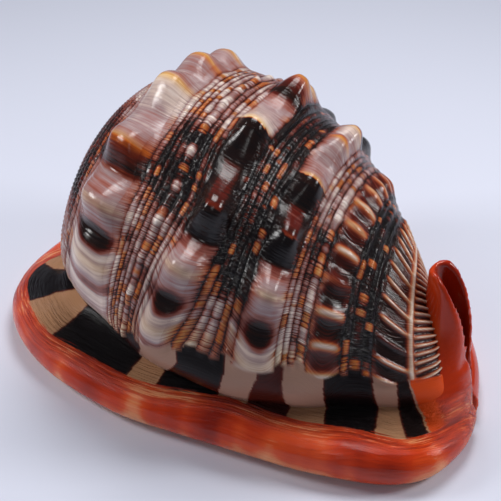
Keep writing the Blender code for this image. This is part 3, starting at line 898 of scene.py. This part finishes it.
    def past_end(self, place: Array, turn: Array) -> Array:
        """How far a place is past the end of the texture, which is ragged: each cord ends alone."""
        cord = np.floor(read_off(self.cords_at, place))
        ragged = self.end_ragged * np.sin(2.4 * cord) * (1.0 - self.fields(place))
        return turn - read_off(self.ends, place) - self.end_bulge * self.bulge(place) - ragged

    def spire_relief(self, place: Array, radius: Array, turn: Array) -> Array:
        """Grooves of the earlier turns' suture winding up to the apex, with beads beside it."""
        rho = np.maximum(radius * self.coil.width(np.minimum(turn, 200.0)), 0.05)
        # Turns wound so far: 0 at the spire's rim, and 5 fewer at the apex.
        wound = 5.0 * ((rho / self.spire_radius) ** (1.0 / 1.6) - 1.0)
        phase = wound - (turn - self.coil.crest) / 360.0
        nearest = np.round(phase)
        last = np.where(nearest == 0, 1.0 - smooth_step((turn - 185.0) / 20.0), 1.0)
        last = last * (nearest <= 0)
        groove = -self.suture_depth * bump_at(phase, nearest, self.suture_half) * last
        bead_row = bump_at(phase - np.floor(phase), 0.60, 0.20) * (phase < 0.0)
        bead = 0.5 + 0.5 * np.cos(np.radians(turn) * self.spire_beads + 1.0)
        relief = groove + self.spire_bead_height * bead_row * (0.4 + 0.6 * bead)
        return relief * np.clip(rho / self.spire_radius, 0.0, 1.0) * (place < -30.0)

    def build(self) -> bpy.types.Object:
        """Wraps a grid round the coil, raises its relief and hollows it.

        Returns:
            The whorl, with its growth coordinates stored on its vertices.
        """
        stops = np.array(self.columns, float)
        count = int(stops[-1, 1]) + 1
        turns = np.interp(np.arange(count), stops[:, 1], stops[:, 0])
        stations = curve_through(self.coil.stations, self.rows_across)
        obj, row, column = Workbench.grid("whorl", self.rows_across, count)
        station = np.repeat(stations[:, None, :], count, axis=1)
        turn = np.repeat(turns[None, :], self.rows_across, axis=0)
        points, centre = self.coil.surface(station, turn)
        normal = np.cross(np.gradient(points, axis=0), np.gradient(points, axis=1))
        normal /= np.maximum(np.linalg.norm(normal, axis=-1, keepdims=True), 1e-9)
        normal *= np.sign(np.sum(normal * (points - centre), axis=-1, keepdims=True))
        place, radius = station[..., 0], station[..., 2]
        grown = radius * self.coil.width(turn)
        pattern = self.pattern_place(place, turn)
        relief = self.knob_relief(pattern, grown, turn) + self.spire_relief(place, radius, turn)
        relief += self.cord_relief(pattern, turn) * np.clip(grown / 20.0, 0.0, 1.0)
        points += normal * relief[..., None]
        # What would hang below the underside is pressed flat against it, with a soft bend.
        low = self.coil.underside - points[..., 2]
        points[..., 2] += 0.5 * (low + np.sqrt(low**2 + 9.0)) - 0.4
        # The ends close in points, the apex a little proud.
        points[0] = points[0].mean(axis=0) - (0.4, 0.0, 0.0)
        points[-1] = points[-1].mean(axis=0)
        Workbench.shape(obj, points[row, column])
        for name, values in self.marks(pattern, turn).items():
            Workbench.mark(obj, name, values[row, column])
        Workbench.close(obj)
        placed = Workbench.points(obj)
        Workbench.mark(obj, "bars", Flank.pattern(placed, Flank.measure(placed)[0]))
        obj.data.materials.append(PolishedWhorl().make())
        Workbench.merge(obj, self.hollow(), "DIFFERENCE")
        return obj

    def hollow(self) -> bpy.types.Object:
        """The hollow inside the whorl, with the way down into the mouth."""
        turn = np.linspace(0.0, 2.0 * math.pi, 48, endpoint=False)
        rings = [np.array(self.cavity_centre) + np.array(self.cavity_half) * np.column_stack([
            np.full(turn.size, math.sin(tilt)), math.cos(tilt) * np.cos(turn),
            math.cos(tilt) * np.sin(turn)]) for tilt in np.radians(np.linspace(-78.0, 78.0, 30))]
        hollow = Workbench.tube("hollow", rings)
        line = curve_through(Base.mouth_line, 24)
        share = np.linspace(0.0, 1.0, 24)
        half = 0.5 * (Base.mouth_width + 3.0) * np.sqrt(
            np.clip(1.0 - (2.0 * share - 1.0) ** 4, 0.08, 1.0))
        outline = np.vstack([line - np.column_stack([0 * half, half]),
                             (line + np.column_stack([0 * half, half]))[::-1]])
        throat = Workbench.tube("throat", [np.column_stack([outline, np.full(len(outline), z)])
                                           for z in (-4.0, 30.0)])
        Workbench.merge(hollow, throat, "UNION")
        hollow.data.materials.clear()
        hollow.data.materials.append(InnerGlaze().make())
        return hollow

    def marks(self, place: Array, turn: Array) -> dict[str, Array]:
        """What the material reads at each vertex.

        Args:
            place: place along the axis of each vertex.
            turn: turn of each vertex.

        Returns:
            Values by name: pigment from ivory to black, how warm it is, where cords are, the count
            of cords, the growth line, the place and where the necked flank is.
        """
        line = self.growth_line(place, turn)
        middle = line + self.bulge_depth(turn)
        fields = self.fields(place)
        total = np.zeros_like(place)
        weight = np.zeros_like(place)
        warm = np.zeros_like(place)
        for row in self.rows:
            crests = np.array([knob + 0.5 for knob, _, _ in row.knobs])
            cell = np.clip(np.searchsorted(crests, middle) - 1, 0, len(crests) - 2)
            phase = np.clip((middle - crests[cell]) / (crests[cell + 1] - crests[cell]), 0.0, 1.0)
            pigment = np.zeros_like(place)
            aside = (place - row.place) / row.field_half
            across = bump_at(aside, 0.0, 1.0, 4)
            for number, (_, _, stage) in enumerate(row.knobs):
                level = read_off(stage.value, phase)
                if stage is Stage.SPOT:
                    oval = np.exp(-(((phase - 0.54) / 0.22) ** 2 + (aside / 0.8) ** 2) ** 2)
                    level += (0.92 - level) * oval
                if stage is Stage.DARK:
                    level += (0.93 - level) * smooth_step((np.abs(aside) - 0.35) / 0.4)
                pigment = np.where(cell == number, level, pigment)
                if stage is Stage.RUST:
                    warm += 0.8 * (cell == number) * across * smooth_step((0.5 - phase) / 0.1)
            # The crests are warm, less so near the lip.
            near = np.min([np.abs(middle - crest) for crest in crests], axis=0)
            cooler = 1.0 - 0.6 * smooth_step((turn - 120.0) / 30.0)
            warm += across * bump_at(near, 0.0, 1.6) * cooler
            total += across * pigment
            weight += across
        for band in self.bands:
            across = bump_at(place, band.place, band.half, 4)
            total += across * read_off(band.stops, line)
            weight += across
        pigment = total / np.maximum(weight, 1e-6)
        # Crests of ridges, ribs, the spiral ridge and the small knobs are pale, with warm sides.
        ridge = bump_at(from_nearest(turn, self.ridge_phase, self.ridge_pitch), 0.0, 1.9)
        ridge = ridge * bump_at(place, self.ridge_place, 3.0, 6)
        ridge *= read_off(self.ridge_light, turn)
        ribs = self.ribs(place, turn) * np.where(
            place < self.spiral_place, read_off(self.rib_light, turn), 1.0)
        light = np.clip(ridge + ribs + bump_at(place, self.spiral_place, self.spiral_half)
                        + self.small_knobs(place, turn), 0.0, 1.0)
        pigment = pigment + (0.12 - pigment) * light
        warm += 3.0 * light * (1.0 - light) * (place > 20.0)
        past = self.past_end(place, turn)
        flank = smooth_step(past / 1.4 + 0.5)
        warm += 0.5 * smooth_step((past + 8.0) / 5.0) * (1.0 - fields)
        # Cords are fainter on the spire.
        plain = 0.4 + 0.6 * smooth_step((place + 38.0) / 4.0)
        return {
            "pigment": pigment, "warm": np.clip(warm, 0.0, 1.0),
            "cords": (1.0 - fields) * (1.0 - flank) * plain,
            "cord": read_off(self.cords_at, place),
            "line": line, "place": place, "flank": flank,
        }


@dataclass
class Base:
    """Lip, shield and canal: the enamelled base that the whorl stands in."""

    around: int = 360
    # The rolled rim in plan, in front and behind, from the spire end to the canal.
    front_edge: tuple = (
        (-75.0, -8.0), (-75.0, -17.0), (-73.2, -26.0), (-68.3, -35.6), (-58.9, -44.2),
        (-47.0, -49.8), (-33.6, -52.9), (-14.2, -54.0), (4.8, -51.0), (22.8, -47.6),
        (40.6, -44.0), (56.9, -38.4), (66.7, -32.5), (72.6, -24.9), (75.0, -14.8),
        (75.0, -7.0), (72.8, 2.0),
    )
    back_edge: tuple = (
        (-75.0, -8.0), (-74.0, 2.0), (-69.5, 11.5), (-61.0, 23.0), (-48.0, 35.0), (-31.0, 46.0),
        (-8.0, 53.4), (14.0, 53.0), (34.0, 46.5), (51.0, 35.0), (64.0, 20.0), (72.8, 2.0),
    )
    edge_roll: float = 7.0
    # How high the top of the roll is, in front and behind, and how far the floor inside it rises.
    lip_top: float = 14.6
    shield_top: float = 9.0
    hollow: float = 2.2
    mouth_line: tuple = ((-50.0, -15.0), (-25.0, -16.5), (5.0, -13.5), (30.0, -8.0), (50.0, -2.0))
    mouth_width: float = 10.5
    mouth_roof: float = 21.0
    teeth: int = 11
    tooth_height: float = 1.5
    # The column: its height, x, y, half length and half width.
    canal: tuple = (
        (1.0, 57.0, -6.0, 15.0, 16.0), (8.0, 58.0, -5.5, 14.6, 14.8),
        (16.0, 59.3, -2.8, 11.4, 12.2), (24.0, 59.6, 1.0, 8.4, 8.6), (32.0, 59.6, 3.2, 7.4, 6.2),
        (42.0, 58.8, 4.4, 6.6, 5.2), (54.0, 58.0, 4.8, 6.0, 4.8),
    )
    # The canal's oblique mouth, in x and height.
    canal_mouth: tuple = (
        (46.0, 48.0), (51.5, 48.2), (54.2, 49.4), (56.4, 48.8), (58.6, 46.8), (60.8, 43.4),
        (62.8, 39.6), (64.6, 35.2), (65.8, 31.0), (66.6, 26.5), (67.8, 22.5), (74.0, 20.0),
    )
    # The way up the column: x, y, height and radius.
    channel: tuple = (
        (30.0, -8.0, 12.0, 3.4), (46.0, -3.2, 9.5, 3.6), (56.0, 0.0, 10.5, 4.0),
        (60.6, 2.2, 17.5, 4.4), (60.8, 3.6, 28.0, 4.5), (59.4, 4.4, 40.0, 4.1),
        (57.6, 4.8, 58.0, 3.6),
    )
    canal_slot: float = 3.2
    # The slot in x and height, and where it lies: its y on the ground under the column, how much
    # that moves with height, and how much for each millimetre short of this x.
    slot_profile: tuple = (
        (44.0, -4.0), (84.0, -4.0), (84.0, 24.0), (62.5, 24.0), (62.5, 15.0), (56.0, 9.5),
        (44.0, 9.5))
    slot_y: float = 0.8
    slot_lean: float = 0.13
    slot_bend: float = 0.2
    slot_bend_x: float = 56.0
    # One skin: the step of the mesh that ring and column melt into.
    skin_step: float = 0.8
    # Where the flank's bars show: above this height, this far in front of the mouth's middle or
    # past the spire end's x, and between these runs.
    barred_above: float = 7.0
    barred_front: float = 7.0
    barred_x: float = -54.0
    barred_runs: tuple = (-11.0, 170.0)
    # Painted shade: the canal's channel is darkened to garnet this far from its middle.
    canal_shade_radius: float = 5.6
    pale_share: float = 0.8

    def rings(self) -> list[Array]:
        """Rings of points from the rolled edge over the top and down through the mouth."""
        half = self.around // 2
        edge = np.vstack([curve_through(self.front_edge, half + 1)[:-1],
                          curve_through(self.back_edge, half + 1)[::-1][:-1]])
        is_front = np.arange(self.around) < half
        run = np.r_[np.arange(half), half - np.arange(half)] / half
        share = 0.5 - 0.5 * np.cos(math.pi * run)
        line = curve_through(self.mouth_line, 200)
        x = line[0, 0] + np.ptp(line[:, 0]) * share
        middle = np.interp(x, line[:, 0], line[:, 1])
        ends = np.sqrt(np.clip(1.0 - (2.0 * share - 1.0) ** 4, 0.0, 1.0))
        side = np.where(is_front, -1.0, 1.0)
        mouth = np.stack([x, middle + side * 0.5 * self.mouth_width * ends], axis=-1)
        blend = smooth_step(share / 0.14) * smooth_step((1.0 - share) / 0.2)
        low_top = self.shield_top + 2.0
        top = low_top + (np.where(is_front, self.lip_top, self.shield_top) - low_top) * blend
        tooth = self.tooth_height * (0.5 + 0.5 * np.cos(2.0 * math.pi * self.teeth * share)) * ends
        inward = mouth - edge
        reach = np.linalg.norm(inward, axis=1)
        inward /= reach[:, None]
        roll = np.minimum(self.edge_roll, top / 2.0)
        span = reach - roll
        # Depth inwards and height of each ring: round the roll, over the top to the mouth's roof,
        # down past the teeth, and out again over the floor.
        steps = [(roll * (1.0 - math.cos(a)), roll * (1.0 + math.sin(a)))
                 for a in np.radians(np.linspace(-90.0, 90.0, 9))]
        steps += [
            (roll + 0.25 * span, top + 0.6), (roll + 0.5 * span, top + 4.0),
            (roll + 0.85 * span, self.mouth_roof), (reach, self.mouth_roof - 3.0),
            (reach + tooth, 9.0), (reach + tooth, 5.5),
            (reach - 1.4 + 0.8 * tooth, self.hollow + 0.9 - 0.5 * tooth),
            (roll + 0.85 * span - 1.0, self.hollow - 0.6 * tooth),
            (roll + 0.5 * span, 0.7 * self.hollow), (roll + 0.2 * span, 0.0)]
        return [np.column_stack([edge + inward * np.broadcast_to(depth, reach.shape)[:, None],
                                 np.broadcast_to(height, reach.shape)]) for depth, height in steps]

    def ring_solid(self) -> bpy.types.Object:
        """The closed ring of shell around the mouth."""
        rings = np.array(self.rings())
        obj, row, column = Workbench.grid("lip", len(rings) + 1, self.around + 1)
        Workbench.shape(obj, rings[row % len(rings), column % self.around])
        Workbench.close(obj)
        return obj

    def column_solid(self) -> bpy.types.Object:
        """The canal's column, cut off along its curved oblique mouth."""
        turn = np.linspace(0.0, 2.0 * math.pi, 64, endpoint=False)
        rings = [np.column_stack([x + half_x * np.cos(turn), y + half_y * np.sin(turn),
                                  np.full(turn.size, height)])
                 for height, x, y, half_x, half_y in curve_through(self.canal, 24)]
        column = Workbench.tube("column", rings)
        edge = curve_through(self.canal_mouth, 40)
        outline = np.vstack([edge, [(84.0, 20.0), (84.0, 62.0), (46.0, 62.0)]])
        above = Workbench.tube("above", [
            np.column_stack([outline[:, 0], np.full(len(outline), y), outline[:, 1]])
            for y in (-16.0, 26.0)])
        Workbench.merge(column, above, "DIFFERENCE")
        return column

    def channel_solid(self) -> bpy.types.Object:
        """The way from the shell's mouth up the middle of the column."""
        turn = np.linspace(0.0, 2.0 * math.pi, 40, endpoint=False)[:, None]
        path = curve_through(self.channel, 30)
        ahead = np.gradient(path[:, :3], axis=0)
        ahead /= np.linalg.norm(ahead, axis=1, keepdims=True)
        side = np.cross(ahead, (0.0, 1.0, 0.0))
        side /= np.linalg.norm(side, axis=1, keepdims=True)
        other = np.cross(ahead, side)
        return Workbench.tube("channel", [
            p[:3] + p[3] * (1.25 * np.cos(turn) * s + 0.8 * np.sin(turn) * o)
            for p, s, o in zip(path, side, other)])

    def slot_solid(self) -> bpy.types.Object:
        """The slit from the channel's outer side down to the mouth of the shell."""
        middle = [(x, self.slot_y + self.slot_lean * max(z, 0.0)
                   - self.slot_bend * max(0.0, self.slot_bend_x - x), z)
                  for x, z in self.slot_profile]
        return Workbench.tube("slot", [
            np.array([(x, y + shift, z) for x, y, z in middle])
            for shift in (-0.5 * self.canal_slot, 0.5 * self.canal_slot)])

    def build(self) -> bpy.types.Object:
        """Joins ring and column, cuts the channel, and melts them into one skin.

        Returns:
            The base.
        """
        lip = self.ring_solid()
        Workbench.merge(lip, self.column_solid(), "UNION")
        Workbench.merge(lip, self.channel_solid(), "DIFFERENCE")
        Workbench.merge(lip, self.slot_solid(), "DIFFERENCE")
        remesh = lip.modifiers.new("melt", "REMESH")
        remesh.mode = "VOXEL"
        remesh.voxel_size = self.skin_step * MM
        bpy.ops.object.modifier_apply(modifier=remesh.name)
        for name, values in self.marks(Workbench.points(lip)).items():
            Workbench.mark(lip, name, values)
        lip.data.materials.clear()
        lip.data.materials.append(LipEnamel().make())
        return lip

    def marks(self, points: Array) -> dict[str, Array]:
        """What the enamel reads at each vertex.

        Args:
            points: the vertices in millimetres.

        Returns:
            Values by name: the run along the ledge, the way outside it and how near it is, the
            flank's bars and where they show, the painted shade in the canal, and the pale teeth.
        """
        run, ledge = Flank.measure(points)
        x, y, z = points.T
        line = curve_through(self.mouth_line, 200)
        middle = np.interp(x, line[:, 0], line[:, 1])
        first, last = self.barred_runs
        barred = (z > self.barred_above) & (run > first) & (run < last) & (
            (y < middle - self.barred_front) | (x < self.barred_x))
        # Painted shade: the enamel darkens to garnet towards the middle of the canal's channel.
        path = curve_through(self.channel, 60)
        tree = KDTree(len(path))
        for number, spot in enumerate(path):
            tree.insert(spot[:3], number)
        tree.balance()
        inner = np.array([tree.find(p)[2] for p in points])
        inside = smooth_step((self.canal_shade_radius - inner) / 1.6)
        # Teeth and the mouth's edges are pale underneath, away from its ends.
        pale = bump_at(y, middle, 11.0) * smooth_step((9.0 - z) / 5.0) * smooth_step(
            (62.0 - np.abs(x)) / 16.0)
        # Near is the rim in front and a few mm inside the ledge, not underneath or behind.
        near = smooth_step((ledge + 13.0) / 6.0) * smooth_step((z - 1.5) / 2.0)
        near = near * smooth_step((6.0 - y) / 6.0)
        return {"run": run, "ledge": ledge, "near": near, "bars": Flank.pattern(points, run),
                "barred": barred.astype(float), "inside": inside,
                "pale": self.pale_share * pale}


@dataclass
class Studio:
    """Floor, lights and camera. Its lengths are metres."""

    azimuth: float = 33.0
    elevation: float = 39.0
    distance: float = 0.45
    field_of_view: float = 21.0
    target: tuple = (-0.0251, 0.0336, 0.0)
    sensor_mm: float = 36.0
    clip_start: float = 0.01
    floor_size: float = 8.0
    floor_roughness: float = 0.8
    # Name, size, watts, azimuth, elevation and distance of each light.
    lights: tuple = (
        ("top", 0.16, 0.85, 195.0, 74.0, 0.38), ("left", 0.1, 0.66, -58.0, 38.0, 0.43),
        ("right", 0.1, 0.66, 120.0, 36.0, 0.43), ("front", 0.12, 0.14, 15.0, 42.0, 0.55))
    # Linear colour of the light from all round.
    sky: tuple = (0.80, 0.86, 1.0, 1.0)
    sky_strength: float = 0.13

    def build(self) -> None:
        """Adds the floor, four soft lights and the camera."""
        bpy.ops.object.select_all(action="DESELECT")
        bpy.ops.mesh.primitive_plane_add(size=self.floor_size)
        floor = bpy.context.object
        floor.name = "floor"
        paint = Paint("paper_floor")
        paint.link(paint.shader, {"Base Color": Shade.FLOOR, "Roughness": self.floor_roughness})
        floor.data.materials.append(paint.material)
        for name, size, watts, azimuth, elevation, reach in self.lights:
            lamp = bpy.data.lights.new(name, "AREA")
            lamp.size = size
            lamp.energy = watts
            light = bpy.data.objects.new(name, lamp)
            bpy.context.scene.collection.objects.link(light)
            away = self.direction(azimuth, elevation)
            light.location = away * reach
            light.rotation_mode = "QUATERNION"
            light.rotation_quaternion = (-away).to_track_quat("-Z", "Y")
        world = bpy.data.worlds.new("soft_room")
        world.use_nodes = True
        background = world.node_tree.nodes["Background"]
        background.inputs["Color"].default_value = self.sky
        background.inputs["Strength"].default_value = self.sky_strength
        bpy.context.scene.world = world
        camera = bpy.data.objects.new("camera", bpy.data.cameras.new("camera"))
        bpy.context.scene.collection.objects.link(camera)
        back = self.direction(self.azimuth, self.elevation)
        camera.data.sensor_width = self.sensor_mm
        half_view = math.radians(self.field_of_view / 2.0)
        camera.data.lens = self.sensor_mm / 2.0 / math.tan(half_view)
        camera.location = Vector(self.target) + back * self.distance
        camera.rotation_mode = "QUATERNION"
        camera.rotation_quaternion = (-back).to_track_quat("-Z", "Y")
        camera.data.clip_start = self.clip_start
        bpy.context.scene.view_settings.view_transform = "Standard"
        bpy.context.scene.camera = camera

    @staticmethod
    def direction(azimuth: float, elevation: float) -> Vector:
        """The way from the object to a viewer: azimuth 0 looks along +Y."""
        a, e = math.radians(azimuth), math.radians(elevation)
        return Vector((math.sin(a) * math.cos(e), -math.cos(a) * math.cos(e), math.sin(e)))


def main() -> None:
    """Loads the frame, builds and dresses the pieces, and reports them."""
    logging.basicConfig(level=logging.INFO, format="%(message)s")
    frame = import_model()
    LOG.info("frame: %s", ", ".join(frame["nodes"]))
    for piece in (Whorl().build(), Base().build()):
        piece.data.shade_smooth()
        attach(piece, "root")
        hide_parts("shell")
        LOG.info("%s: %d faces", piece.name, len(piece.data.polygons))
    Studio().build()


if __name__ == "__main__":
    main()
